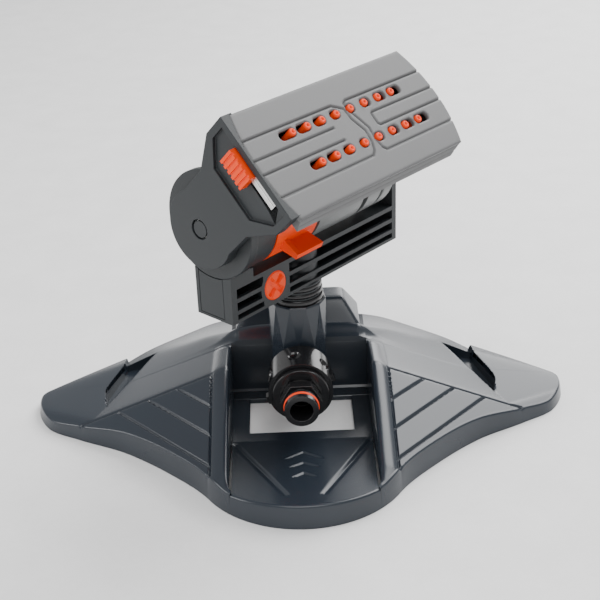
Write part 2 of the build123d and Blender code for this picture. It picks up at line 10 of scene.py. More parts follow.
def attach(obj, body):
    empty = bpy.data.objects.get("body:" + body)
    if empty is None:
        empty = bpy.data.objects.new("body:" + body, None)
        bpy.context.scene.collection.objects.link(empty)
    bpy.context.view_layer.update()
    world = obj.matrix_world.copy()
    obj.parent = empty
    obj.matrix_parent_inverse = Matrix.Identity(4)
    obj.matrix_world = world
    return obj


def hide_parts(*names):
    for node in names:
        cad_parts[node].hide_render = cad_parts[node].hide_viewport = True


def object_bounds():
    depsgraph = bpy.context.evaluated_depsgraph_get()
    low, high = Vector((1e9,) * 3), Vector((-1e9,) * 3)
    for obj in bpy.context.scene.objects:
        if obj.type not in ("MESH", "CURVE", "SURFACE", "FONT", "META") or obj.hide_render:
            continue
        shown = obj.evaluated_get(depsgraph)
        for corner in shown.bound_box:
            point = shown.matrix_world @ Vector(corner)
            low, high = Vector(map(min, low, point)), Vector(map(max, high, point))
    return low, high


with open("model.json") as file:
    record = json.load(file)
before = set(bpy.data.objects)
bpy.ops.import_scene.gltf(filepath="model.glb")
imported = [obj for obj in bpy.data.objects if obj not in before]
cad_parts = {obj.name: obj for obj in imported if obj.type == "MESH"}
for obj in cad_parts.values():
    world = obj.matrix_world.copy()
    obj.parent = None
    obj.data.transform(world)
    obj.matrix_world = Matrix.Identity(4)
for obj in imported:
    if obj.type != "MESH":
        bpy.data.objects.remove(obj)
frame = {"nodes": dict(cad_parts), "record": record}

cad_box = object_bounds()
MM = 0.001

# ---- Stance, in millimetres and degrees, as the frame is built -------------------------
PIVOT_Z = 121.7
YOKE_TURN = math.radians(47.4)
HEAD_LEAN = math.radians(44.2)
ALONG = np.array((math.cos(YOKE_TURN), math.sin(YOKE_TURN), 0.0))
BACK = np.array((-math.sin(YOKE_TURN), math.cos(YOKE_TURN), 0.0))
UP = np.array((0.0, 0.0, 1.0))
FACE_OUT = -math.sin(HEAD_LEAN) * BACK + math.cos(HEAD_LEAN) * UP
FACE_UP = math.cos(HEAD_LEAN) * BACK + math.sin(HEAD_LEAN) * UP
PIVOT = PIVOT_Z * UP


def yoke_point(u, v, z):
    """Points given along the swing axis, backwards and up from the pivot, stacked in the row frame."""
    u, v, z = np.broadcast_arrays(u, v, z)
    return PIVOT + u[..., None] * ALONG + v[..., None] * BACK + z[..., None] * UP


def head_point(u, t, r):
    """Points given along the swing axis, up the spray face and outwards, stacked in the row frame."""
    u, t, r = np.broadcast_arrays(u, t, r)
    return PIVOT + u[..., None] * ALONG + t[..., None] * FACE_UP + r[..., None] * FACE_OUT


# ---- Camera, floor and lights ------------------------------------------------------------
def camera():
    """The camera: a yaw and a pitch towards the object, then a small roll about its own view."""
    yaw, pitch, roll = (math.radians(a) for a in (-0.38, 27.19, -2.09))
    back = Vector((math.sin(yaw) * math.cos(pitch), -math.cos(yaw) * math.cos(pitch), math.sin(pitch)))
    right = (-back).cross(Vector((0, 0, 1))).normalized()
    up = right.cross(-back)
    rolled = (math.cos(roll) * right + math.sin(roll) * up,
              math.cos(roll) * up - math.sin(roll) * right, back)
    data = bpy.data.cameras.new("camera")
    data.sensor_width = 36.0
    data.lens = 76.0
    shot = bpy.data.objects.new("camera", data)
    shot.matrix_world = Matrix.Translation((-0.0022, -0.540, 0.3407)) @ Matrix(rolled).transposed().to_4x4()
    bpy.context.scene.collection.objects.link(shot)
    bpy.context.scene.camera = shot


def area_light(name, place, aim, size, power):
    """A square soft light at a place, turned to face the point that it lights."""
    data = bpy.data.lights.new(name, "AREA")
    data.size = size
    data.energy = power
    lamp = bpy.data.objects.new(name, data)
    lamp.location = place
    lamp.rotation_euler = (Vector(place) - Vector(aim)).to_track_quat("Z", "Y").to_euler()
    bpy.context.scene.collection.objects.link(lamp)


# ---- Shader arithmetic -------------------------------------------------------------------
class Value:
    """A shader socket on which +, - and * build their own Math nodes."""

    def __init__(self, net, socket):
        self.net, self.socket = net, socket

    def math(self, operation, first, second):
        return self.net.node("ShaderNodeMath", {"operation": operation}, {0: first, 1: second})

    def __add__(self, other):
        return self.math("ADD", self, other)

    def __radd__(self, other):
        return self.math("ADD", other, self)

    def __sub__(self, other):
        return self.math("SUBTRACT", self, other)

    def __rmul__(self, other):
        return self.math("MULTIPLY", other, self)


class Finish:
    """A material and the nodes that feed its Principled shader."""

    def __init__(self, name, colour, roughness, **constants):
        self.material = bpy.data.materials.new(name)
        self.material.use_nodes = True
        self.tree = self.material.node_tree
        self.shader = self.tree.nodes["Principled BSDF"]
        self.shader.inputs["Base Color"].default_value = (*colour, 1)
        self.shader.inputs["Roughness"].default_value = roughness
        self.material.diffuse_color = (*colour, 1)
        for key, value in constants.items():
            self.shader.inputs[key.replace("_", " ")].default_value = value
        self.place = self.node("ShaderNodeTexCoord", output="Object")

    def node(self, kind, settings=(), inputs=(), output=0):
        """Any node: its settings first, then its sockets' values or links; gives one output."""
        made = self.tree.nodes.new(kind)
        for key, value in dict(settings).items():
            if key == "stops":
                for stop, (at, colour) in zip(made.color_ramp.elements, value):
                    stop.position, stop.color = at, colour
            else:
                setattr(made, key, value)
        for key, value in dict(inputs).items():
            if isinstance(value, Value):
                self.tree.links.new(value.socket, made.inputs[key])
            else:
                made.inputs[key].default_value = value
        return Value(self, made.outputs[output])

    def noise(self, scale, detail=2.0):
        """Noise between 0 and 1 on the piece's own coordinates; scale is in waves per metre."""
        return self.node("ShaderNodeTexNoise", {}, {"Vector": self.place, "Scale": scale, "Detail": detail})

    def feed(self, key, value):
        self.tree.links.new(value.socket, self.shader.inputs[key])

    def mix(self, amount, low, high):
        """A colour between two colours."""
        return self.node("ShaderNodeMix", {"data_type": "RGBA"},
                         {"Factor": amount, 6: (*low, 1), 7: (*high, 1)}, output=2)

    def relief(self, height, depth):
        """Bump from a height between 0 and 1 and its real depth in metres."""
        self.feed("Normal", self.node("ShaderNodeBump", {}, {"Height": height, "Distance": depth}))


def moulded(name, colour, roughness, grain, depth, spread=0.06, **constants):
    """Moulded plastic: a fine spark-eroded grain, a slow change of gloss and a faint change of shade."""
    finish = Finish(name, colour, roughness, **constants)
    slow = finish.noise(38.0)
    fine = finish.noise(grain, 3.0)
    finish.feed("Roughness", roughness + spread * (slow - 0.5) + 0.5 * spread * (fine - 0.5))
    darker = tuple(0.90 * c for c in colour)
    lighter = tuple(min(1.0, 1.08 * c) for c in colour)
    finish.feed("Base Color", finish.mix(0.7 * slow + 0.3 * fine, darker, lighter))
    finish.relief(fine, depth)
    return finish.material


def metal(name, colour, roughness):
    """Turned steel: fine scratches in the shade and the gloss."""
    finish = Finish(name, colour, roughness, Metallic=1.0)
    scratch = finish.noise(2600.0, 1.0)
    finish.feed("Roughness", roughness + 0.12 * (scratch - 0.5))
    finish.relief(scratch, 0.00001)
    return finish.material


FINISHES = {
    "base_navy": moulded("navy gloss plastic", (0.017, 0.023, 0.032), 0.25, 900.0, 0.000001, 0.04),
    "yoke_grey": moulded("dark grey grained plastic", (0.0125, 0.016, 0.0185), 0.50, 2600.0, 0.00006),
    "face_grey": moulded("mid grey grained plastic", (0.118, 0.119, 0.121), 0.48, 2600.0, 0.00005),
    "light_grey": moulded("light grey satin plastic", (0.118, 0.124, 0.124), 0.36, 1800.0, 0.00002),
    "orange": moulded("orange satin plastic", (1.0, 0.062, 0.0), 0.42, 1500.0, 0.00001, 0.04,
                     Specular_IOR_Level=0.25),
    "orange_rubber": moulded("orange soft rubber", (0.98, 0.055, 0.0), 0.5, 2200.0, 0.00002,
                            Specular_IOR_Level=0.3),
    "black_gloss": moulded("black gloss plastic", (0.009, 0.009, 0.010), 0.17, 1200.0, 0.00001, 0.04),
    "black_rubber": moulded("black rubber", (0.012, 0.012, 0.012), 0.62, 2000.0, 0.00003),
    "steel": metal("turned steel", (0.62, 0.62, 0.61), 0.30),
    "white_acetal": moulded("white acetal", (0.76, 0.76, 0.73), 0.38, 1500.0, 0.00001),
}


# ---- Mesh helpers ------------------------------------------------------------------------
def new_piece(name, verts, faces, slot, body, *stands_for):
    """A mesh from points in millimetres, smooth, with its slot's finish, riding on its body."""
    mesh = bpy.data.meshes.new(name)
    mesh.from_pydata((np.asarray(verts) * MM).tolist(), [], np.asarray(faces).tolist())
    mesh.polygons.foreach_set("use_smooth", np.ones(len(mesh.polygons), dtype=bool))
    mesh.materials.append(FINISHES[slot])
    mesh.update()
    piece = bpy.data.objects.new(name, mesh)
    bpy.context.scene.collection.objects.link(piece)
    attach(piece, body)
    if stands_for:
        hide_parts(*stands_for)
    return piece


def body_of_node(node):
    """The name of the body that a CAD node belongs to."""
    return next(body for body, nodes in frame["record"]["behaviour"]["bodies"].items() if node in nodes)


def soften(node, width, angle=28.0, segments=3):
    """The same shape as a CAD node with its edges rounded: its merged copy with a bevel on it."""
    source = frame["nodes"][node]
    slot = next(s["material_slot"] for s in frame["record"]["subparts"] if s["node"] == node)
    shape = bmesh.new()
    shape.from_mesh(source.data)
    bmesh.ops.remove_doubles(shape, verts=shape.verts, dist=2e-6)
    bmesh.ops.dissolve_limit(shape, angle_limit=math.radians(0.6), verts=shape.verts, edges=shape.edges)
    for edge in shape.edges:
        edge.smooth = edge.calc_face_angle(3.2) < math.radians(angle)
    for face in shape.faces:
        face.smooth = True
    mesh = bpy.data.meshes.new(node + "_finished")
    shape.to_mesh(mesh)
    shape.free()
    mesh.materials.append(FINISHES[slot])
    piece = bpy.data.objects.new(node + "_finished", mesh)
    bpy.context.scene.collection.objects.link(piece)
    bevel = piece.modifiers.new("rounded edges", "BEVEL")
    bevel.width = width * MM
    bevel.segments = segments
    bevel.limit_method = "ANGLE"
    bevel.angle_limit = math.radians(angle)
    bevel.harden_normals = True
    bevel.use_clamp_overlap = True
    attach(piece, body_of_node(node))
    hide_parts(node)
    return piece


# ---- Sheets with openings ------------------------------------------------------------------
def grid_faces(rows, columns, wrap=False):
    """Quads of a grid whose rows may close on themselves."""
    index = np.arange(rows * columns).reshape(rows, columns)
    if wrap:
        index = np.concatenate((index, index[:, :1]), axis=1)
    quads = np.stack((index[:-1, :-1], index[1:, :-1], index[1:, 1:], index[:-1, 1:]), axis=-1)
    return quads.reshape(-1, 4)


def nearest_on(x, y, start, end):
    """The nearest point of a straight stretch to each point, and its distance."""
    (ax, ay), (bx, by) = start, end
    f = np.clip(((x - ax) * (bx - ax) + (y - ay) * (by - ay)) / ((bx - ax) ** 2 + (by - ay) ** 2), 0, 1)
    near_x, near_y = ax + f * (bx - ax), ay + f * (by - ay)
    return near_x, near_y, np.hypot(x - near_x, y - near_y)


def engraved(x, y, lines, depth, half_width):
    """How deep round-bottomed grooves along straight lines lie at each point."""
    nearest = np.min([nearest_on(x, y, start, end)[2] for start, end in lines], axis=0)
    return depth * np.exp(-(nearest / half_width) ** 2)


def sheet(upper, lower, kept):
    """A closed sheet from two matching layers of points: its faces above and below, and walls round
    every edge that only one kept face has."""
    count = len(upper)
    edges = np.concatenate([kept[:, (k, (k + 1) % 4)] for k in range(4)])
    key = np.sort(edges, axis=1) @ np.array((count, 1))
    _, first, uses = np.unique(key, return_index=True, return_counts=True)
    rim_edges = edges[first[uses == 1]]
    walls = np.column_stack((rim_edges[:, 1], rim_edges[:, 0], rim_edges[:, 0] + count,
                             rim_edges[:, 1] + count))
    return np.concatenate((upper, lower)), np.concatenate((kept, kept[:, ::-1] + count, walls))


# ---- Base moulding -----------------------------------------------------------------------
HALF_WIDTH, HALF_DEPTH, LOBE = 132.9, 95.3, 50.9
POCKET, POCKET_BACK, POCKET_TOP = 34.0, 19.0, 30.0
FLOOR_TOP, RAMP_START, RAMP_SLOPE = 2.5, -28.5, 0.139
WINDOW_HALF, WINDOW_FRONT, WINDOW_BACK = 25.6, -21.4, 10.2
SHOULDER = 37.0
SHELL = 2.4
HUMP_TOP, HUMP_NOTCH = 47.8, 16.4  # the notch's radius leaves a gap round the collar
REAR_CORNER, TIP_CORNER = (52.0, 84.5), (129.6, 22.3)
VENT = np.array(((96, -5), (76, 49.5), (91, 45), (92, 38), (98.8, 14)), float)
WING_GROOVES = (((42.6, -11.9), (110.5, -16.5)), ((42.6, -11.9), (42.6, -76)), ((59.4, -14), (42.6, -31)),
                ((73.7, -15.2), (42.6, -47.4)), ((88.7, -16.1), (42.6, -64)))
CREASES = (((32.5, -31.5), (8.5, -83)), ((-32.5, -31.5), (-8.5, -83)))
CHEVRONS = ((-41.1, 8.4, 10.7, 5.2), (-52.0, 5.6, 8.7, 4.0), (-62.0, 5.4, 6.8, 3.9))  # tip, sweep, half, body


def smooth_line(points, start, end, count):
    """A line through points: cubics in the length along the chords, with slopes from their neighbours."""
    points = np.asarray(points, float)
    at = np.concatenate(([0], np.cumsum(np.hypot(*np.diff(points, axis=0).T))))
    slopes = np.empty_like(points)
    slopes[1:-1] = (points[2:] - points[:-2]) / (at[2:] - at[:-2])[:, None]
    slopes[0], slopes[-1] = start, end
    along = np.linspace(0, at[-1], count)
    i = np.clip(np.searchsorted(at, along, "right") - 1, 0, len(at) - 2)
    span = (at[i + 1] - at[i])[:, None]
    f = (along - at[i])[:, None] / span
    return ((2 * f**3 - 3 * f**2 + 1) * points[i] + (f**3 - 2 * f**2 + f) * span * slopes[i]
            + (3 * f**2 - 2 * f**3) * points[i + 1] + (f**3 - f**2) * span * slopes[i + 1])


def evenly(points, count):
    """The same line with evenly spaced points."""
    at = np.concatenate(([0], np.cumsum(np.hypot(*np.diff(points, axis=0).T))))
    along = np.linspace(0, at[-1], count)
    return np.stack([np.interp(along, at, points[:, k]) for k in (0, 1)], axis=-1)


def rear_fall():
    """The direction of the straight rear edge, from the tip to the middle."""
    fall = np.subtract(REAR_CORNER, TIP_CORNER)
    return fall / np.hypot(*fall)


def rear_edge(x):
    """How far back the base reaches at a place across it."""
    line = smooth_line((REAR_CORNER, (0, HALF_DEPTH)), rear_fall(), (-1, 0), 80)[::-1]
    straight = REAR_CORNER[1] + (np.abs(x) - REAR_CORNER[0]) * rear_fall()[1] / rear_fall()[0]
    return np.where(np.abs(x) < REAR_CORNER[0], np.interp(np.abs(x), line[:, 0], line[:, 1]), straight)


def outline(count):
    """The right half of the base's outline from the round front, past the wing's tip, to the rear."""
    turn = np.radians(np.linspace(-math.degrees(math.acos(POCKET / LOBE)), -32, 20))
    lobe = np.stack((LOBE * np.cos(turn), LOBE - HALF_DEPTH + LOBE * np.sin(turn)), axis=-1)
    leave = (-math.sin(turn[-1]), math.cos(turn[-1]))
    flank = smooth_line((lobe[-1], (60, -52), (84.5, -31), (109, -17.4), (125.5, -6.3), (HALF_WIDTH, 14)),
                        leave, (0, 1), 200)
    tip = smooth_line((flank[-1], (132.4, 18.5), TIP_CORNER), (0, 1), rear_fall(), 16)
    x = np.linspace(REAR_CORNER[0], POCKET, 20)
    rear = np.stack((x, rear_edge(x)), axis=-1)
    return evenly(np.concatenate((lobe[:-1], flank[:-1], tip, rear)), count)


def soft_min(a, b, width):
    """The lower of two heights with the crease between them rounded over a width."""
    return 0.5 * (a + b - np.sqrt((a - b) ** 2 + width * width))


def base_height(x, y):
    """Height of the base's top to the right of the pocket and behind it: roof planes that meet in soft
    creases, a raised tip panel, the shoulder behind the pocket and the facet down to the rear rim."""
    wide = np.maximum(x, POCKET)
    front = 50.2 - 0.339 * wide + 0.348 * y
    rear = 45.6 - 0.372 * wide - 0.152 * y
    tip = 19.9 - 0.1 * x - 0.03 * y
    edge = np.where(y < -5, 94.5 - 0.4485 * y, np.interp(y, (-5, 14, 38, 60), (96.7, 98.8, 92, 91)))
    height = np.where(x > edge, soft_min(front, tip, 1.0), soft_min(front, rear, 0.8))
    rise = soft_min(POCKET_TOP + 1.15 * (y - POCKET_BACK - 0.8), np.full_like(y, SHOULDER), 1.2)
    raised = rise - 1.1 * np.clip(x - POCKET + 3, 0, None)
    height = np.where(y > POCKET_BACK, -soft_min(-height, -raised, 3.0), height)
    inside = np.minimum(rear_edge(x) - y, 0.78 * (rear_edge(x) - y) + 0.3 * np.clip(POCKET - x, 0, None))
    return soft_min(height, 6.0 + 0.34 * inside + 0.004 * inside ** 2, 1.6)


def wing_height(x, y):
    """Height of a wing: the base's top with the rounded rail beside the pocket and the cut grooves."""
    height = base_height(x, y)
    fade = np.clip((POCKET_BACK + 3 - y) / 8, 0, 1) * np.clip((y + 82) / 12, 0, 1)
    height = height + 1.3 * np.clip(1 - ((x - 38.4) / 4.3) ** 2, 0, None) * fade
    lip = np.clip(2.0 - (x - POCKET), 0, 2.0) * np.clip((POCKET_BACK - y) / 3, 0, 1)
    height = height - (2.0 - np.sqrt(4.0 - lip ** 2)) * np.clip((y + 79) / 6, 0, 1)
    return height - engraved(x, y, WING_GROOVES, 1.0, 0.5)


def ramp_height(x, y):
    """Height of the pocket's floor: level round the window, then a ramp with two creases and three
    sunk arrow heads."""
    height = FLOOR_TOP + RAMP_SLOPE * np.clip(RAMP_START - y, 0, None)
    height = height - engraved(x, y, CREASES, 0.7, 1.1)
    for tip, sweep, half, body in CHEVRONS:
        across = np.abs(x) / half
        back = tip - sweep * across
        front = tip - body - (sweep - body) * across
        depth = np.minimum(np.minimum(back - y, y - front), (1 - across) * 4)
        height = height - 0.8 * np.clip(depth / 0.6, 0, 1)
    return height


def rim(start, inward, top, steps=4, flare=0.8, radius=1.3):
    """A rim's wall from the ground up, leaning in by a flare, and the quarter round at its top."""
    turn = np.linspace(0, math.pi / 2, steps + 1)
    run = np.concatenate(([0.0, flare * 0.5], flare + radius * (1 - np.cos(turn))))
    rise = np.concatenate((np.zeros((len(top), 1)), 0.5 * (top[:, None] - radius),
                           top[:, None] - radius + radius * np.sin(turn)), axis=1)
    flat = start[:, None, :] + inward[:, None, :] * run[None, :, None]
    return np.concatenate((flat, rise[..., None]), axis=2)


def moulding(name, loop, flip, crease=40.0):
    """A piece of the base from closed sections in order: loop[station, place in the section]."""
    quads = grid_faces(loop.shape[0], loop.shape[1], wrap=True)
    if flip:
        quads = quads[:, ::-1]
    piece = new_piece(name, loop.reshape(-1, 3), quads, "base_navy", "base", "base_shell")
    piece.data.set_sharp_from_angle(angle=math.radians(crease))


def wing(name, side, stations=400, lanes=150):
    """One wing: for each station of the outline a closed section, over the top and back under the shell."""
    edge = outline(stations)
    heading = np.gradient(edge, axis=0)
    heading /= np.hypot(*heading.T)[:, None]
    inward = np.stack((-heading[:, 1], heading[:, 0]), axis=-1)
    inward[0] = -edge[0] / LOBE + (0, (LOBE - HALF_DEPTH) / LOBE)
    shoulder = edge + inward * 2.1
    run = np.concatenate(([0], np.cumsum(np.hypot(*np.diff(edge, axis=0).T))))
    depth = shoulder[0, 1] + (shoulder[-1, 1] - shoulder[0, 1]) * run / run[-1]
    ends = np.minimum(depth - shoulder[0, 1], shoulder[-1, 1] - depth)
    rail = np.stack((POCKET - (POCKET - shoulder[0, 0]) * np.clip(1 - ends / 3, 0, 1), depth), axis=-1)
    f = np.linspace(0, 1, lanes)[None, :, None]
    top = shoulder[:, None, :] * (1 - f) + rail[:, None, :] * f
    top = np.concatenate((top, wing_height(top[..., 0], top[..., 1])[..., None]), axis=2)
    wall = rim(edge, inward, top[:, 0, 2])
    foot = np.where(rail[:, 1] < POCKET_BACK, ramp_height(POCKET, rail[:, 1]) - 0.5, 20.0)
    foot = np.minimum(foot, top[:, -1, 2] - 0.2)
    drop = np.linspace(0, 1, 5)[None, 1:]
    side_wall = np.concatenate((np.repeat(rail[:, None, :], 4, axis=1),
                                (top[:, -1:, 2] * (1 - drop) + foot[:, None] * drop)[..., None]), axis=2)
    g = np.linspace(1, 0, 14)[None, :, None]
    under = (edge + inward * SHELL)[:, None, :] * (1 - g) + (rail + (SHELL, 0))[:, None, :] * g
    depth = np.clip(base_height(under[..., 0], under[..., 1]) - SHELL, 0.2, None)
    over_vent = np.min([nearest_on(under[..., 0], under[..., 1], a, b)[2] for a, b in vent_sides()], axis=0)
    depth[(over_vent < 8) | inside_vent(under[..., 0], under[..., 1])] = 0.4
    depth[:, -1] = 0.0
    depth[:, 0] = np.minimum(depth[:, 0], foot)
    under = np.concatenate((under, depth[..., None]), axis=2)
    loop = np.concatenate((wall, top[:, 1:], side_wall, under), axis=1)
    snap_to_vent(loop[:, :wall.shape[1] + lanes - 1])
    quads = grid_faces(loop.shape[0], loop.shape[1], wrap=True)
    points = loop.reshape(-1, 3)
    middle = points[quads].mean(axis=1)
    on_top = quads[:, 0] % loop.shape[1] < wall.shape[1] + lanes - 1
    quads = quads[~(on_top & inside_vent(middle[:, 0], middle[:, 1]))]
    points = points * (side, 1, 1)
    piece = new_piece(name, points, quads[:, ::-1] if side > 0 else quads, "base_navy", "base", "base_shell")
    piece.data.set_sharp_from_angle(angle=math.radians(40))


def vent_sides():
    """The vent's sides, corner to corner."""
    return zip(VENT, np.roll(VENT, -1, axis=0))


def inside_vent(x, y):
    """Which points lie inside the vent's outline: the crossings of a ray to the right are counted."""
    inside = np.zeros(x.shape, bool)
    for (ax, ay), (bx, by) in vent_sides():
        crosses = (ay > y) != (by > y)
        inside ^= crosses & (x < (bx - ax) * (y - ay) / (by - ay + 1e-9) + ax)
    return inside


def snap_to_vent(points, reach=0.42):
    """Moves the grid points that are nearly on the vent's outline onto it."""
    for start, end in vent_sides():
        near_x, near_y, away = nearest_on(points[..., 0], points[..., 1], start, end)
        near = away < reach
        points[near, 0], points[near, 1] = near_x[near], near_y[near]


def vent_lining(name, side):
    """The vent's walls, from the panels round it down to a floor just over the ground."""
    path = np.concatenate([np.linspace(a, b, 24, endpoint=False) for a, b in vent_sides()])
    middle = VENT.mean(axis=0)
    outer = path + 0.5 * (path - middle) / np.hypot(*(path - middle).T)[:, None]
    high = np.minimum(wing_height(outer[:, 0], outer[:, 1]), wing_height(path[:, 0], path[:, 1]) + 0.4)
    low = middle + 0.02 * (path - middle)
    rings = [np.column_stack((place, level)) for place, level in
             ((path, high), (path, high - 2.5), (path, 0 * high + 1.6), (low, 0 * high + 1.6))]
    points = np.stack(rings).reshape(-1, 3) * (side, 1, 1)
    quads = grid_faces(4, len(path), wrap=True)
    piece = new_piece(name, points, quads if side > 0 else quads[:, ::-1], "base_navy", "base", "base_shell")
    piece.data.set_sharp_from_angle(angle=math.radians(30))


def middle_front(name):
    """The round front and its ramp: for each place across, a closed section in depth and height."""
    x = np.linspace(-POCKET, POCKET, 181)
    start = np.stack((x, LOBE - HALF_DEPTH - np.sqrt(LOBE ** 2 - x ** 2)), axis=-1)
    inward = -np.stack((x, start[:, 1] - (LOBE - HALF_DEPTH)), axis=-1) / LOBE
    f = np.linspace(0, 1, 160)[None, :, None]
    first = start + inward * 2.1
    last = np.stack((x, np.full_like(x, WINDOW_FRONT)), axis=-1)
    top = first[:, None, :] * (1 - f) + last[:, None, :] * f
    top = np.concatenate((top, ramp_height(top[..., 0], top[..., 1])[..., None]), axis=2)
    wall = rim(start, inward, top[:, 0, 2])
    g = np.linspace(1, 0, 10)[None, :, None]
    under = (start + inward * SHELL)[:, None, :] * (1 - g) + last[:, None, :] * g
    depth = np.clip(RAMP_SLOPE * (RAMP_START - under[..., 1]), 0, None)
    depth[:, -1] = 0
    under = np.concatenate((under, depth[..., None]), axis=2)
    moulding(name, np.concatenate((wall, top[:, 1:], under), axis=1), True, 50.0)


def middle_back(name):
    """Behind the window: the pocket's back wall, the shoulder and the slope down to the rear rim."""
    x = np.linspace(-POCKET, POCKET, 81)
    level = np.ones_like(x)
    foot = ((WINDOW_BACK, 0), (WINDOW_BACK, FLOOR_TOP - 0.3), (WINDOW_BACK + 0.3, FLOOR_TOP),
            (18, FLOOR_TOP), (POCKET_BACK, 3.5), (POCKET_BACK, 28.6), (19.3, 29.5))
    rows = [np.column_stack((x, y * level, z * level)) for y, z in foot]
    rear = np.stack((x, rear_edge(x)), axis=-1)
    inward = np.stack((np.zeros_like(x), -level), axis=-1)
    for f in np.linspace(0, 1, 70):
        y = (POCKET_BACK + 1) * (1 - f) + (rear[:, 1] - 2.1) * f
        rows.append(np.column_stack((x, y, base_height(np.abs(x), y))))
    rows += list(np.swapaxes(rim(rear, inward, rows[-1][:, 2]), 0, 1)[::-1][1:])
    inner = rear[:, 1] - SHELL
    for y, z in ((inner, 0), (inner - 6, 6), (46, 30), (26, 30), (21.4, 26), (21.4, 0)):
        rows.append(np.column_stack((x, y * level, z * level)))
    moulding(name, np.stack(rows, axis=1), True, 34.0)


def window_ledge(name, side):
    """The strip of floor beside the window, a closed section carried front to back."""
    y = np.linspace(WINDOW_FRONT - 0.01, WINDOW_BACK + 0.01, 24)
    section = ((POCKET, 0), (WINDOW_HALF, 0), (WINDOW_HALF, FLOOR_TOP - 0.4),
               (WINDOW_HALF + 0.4, FLOOR_TOP), (POCKET, FLOOR_TOP))
    rows = [np.column_stack((np.full_like(y, side * x), y, np.full_like(y, z))) for x, z in section]
    moulding(name, np.stack(rows, axis=1), side < 0)


def hump(name):
    """The hump behind the neck: a flat top, a leaning front and sloping sides that meet in soft edges,
    with a round notch for the collar."""
    turn, reach = np.meshgrid(np.radians(np.linspace(12, 168, 240)), np.linspace(0, 1, 90), indexing="ij")
    edge = np.minimum(31.5 / np.maximum(np.abs(np.cos(turn)), 1e-6), 50.0 / np.sin(turn))
    away = HUMP_NOTCH * (1 - reach) + edge * reach
    x, y = away * np.cos(turn), away * np.sin(turn)
    front = 37.0 + 1.7 * (y - 26.5)
    side = HUMP_TOP - 1.6 * (np.abs(x) - 23.5)
    height = soft_min(soft_min(front, side, 2.0), np.full_like(x, HUMP_TOP), 1.6)
    height = soft_min(height, HUMP_TOP - 2.0 * (y - 45.0), 1.6)
    height = np.maximum(height, 33.0) - 0.9 * np.exp(-(away - HUMP_NOTCH) / 0.5)
    upper = np.stack((x, y, height), axis=-1).reshape(-1, 3)
    quads = grid_faces(*x.shape)[:, ::-1]
    quads = quads[y.ravel()[quads].mean(axis=1) > 25.2]
    points, faces = sheet(upper, upper * (1, 1, 0) + (0, 0, 30.0), quads)
    piece = new_piece(name, points, faces, "base_navy", "base", "base_shell")
    piece.data.set_sharp_from_angle(angle=math.radians(50))


def base_moulding():
    for side, word in ((1, "right"), (-1, "left")):
        wing(f"base_wing_{word}", side)
        vent_lining(f"base_vent_{word}", side)
        window_ledge(f"base_ledge_{word}", side)
    middle_front("base_front")
    middle_back("base_back")
    hump("base_hump")


# ---- Spray head ---------------------------------------------------------------------------
FACE_R, SEAM_R = 50.5, 48.6
HEAD_LOW, HEAD_HIGH, HEAD_CORNER = -27.0, 24.9, 55.4
LEFT_BULGE, RIGHT_BULGE = 59.2, 61.0
NOZZLE_ROOT, NOZZLE_TIP = 36.6, 51.4
NOZZLE_PITCH, SLOT_HALF, MIDDLE = 9.44, 2.1, 4.0
PLUG_U, PLUG_Z, PLUG_FRONT, PLUG_RADIUS = -26.2, -36.7, 11.0, 6.85
ROWS = ((7.9, -31.6), (-8.8, -26.8))  # each row's place up the face and its first nozzle
FACE_GROOVES = (((-62, 12.1), (-3.2, 12.1)), ((-3.2, 12.1), (-1.2, 11)), ((-1.2, 11), (2.6, 8.8)),
                ((2.6, 8.8), (3.0, 3.2)), ((3.0, 3.2), (6.2, -4.2)), ((6.2, -4.2), (5.6, -9.6)),
                ((5.6, -9.6), (3.6, -13.8)), ((3.6, -13.8), (1.4, -15.6)), ((1.4, -15.6), (-62, -15.6)),
                ((64, 12.1), (6.6, 12.1)), ((6.6, 12.1), (4.6, 11)), ((4.6, 11), (4.4, 8.6)),
                ((4.4, 8.6), (9.2, -3.6)), ((9.2, -3.6), (8.4, -9.4)), ((8.4, -9.4), (9.2, -13.8)),
                ((9.2, -13.8), (11, -15.6)), ((11, -15.6), (64, -15.6)),
                ((-62, 2.6), (-9.4, 2.6)), ((-62, -4.2), (-8, -4.2)),
                ((64, 2.6), (16.6, 2.6)), ((16.6, 2.6), (15.6, 1.6)), ((15.6, 1.6), (15.6, -3.2)),
                ((15.6, -3.2), (16.6, -4.2)), ((16.6, -4.2), (64, -4.2)))


def head_end(t, bulge):
    """How far along the swing axis an end of the head reaches at a place up the face: a flat arc."""
    rise, half = bulge - HEAD_CORNER, (HEAD_HIGH - HEAD_LOW) / 2
    radius = (half ** 2 + rise ** 2) / (2 * rise)
    from_middle = np.clip(t - (HEAD_HIGH + HEAD_LOW) / 2, -half, half)
    return bulge - radius + np.sqrt(radius ** 2 - from_middle ** 2)


def nozzle_places():
    """Each nozzle's name, place along and up the face, the way it tilts and its tip's travel."""
    for row, (up, first) in enumerate(ROWS, 1):
        for number in range(8):
            along = first + NOZZLE_PITCH * number
            yield (f"nozzle_{row}_{number + 1}", along, up, 1 if along > MIDDLE else -1,
                   0.4 + 0.14 * abs(along - MIDDLE))


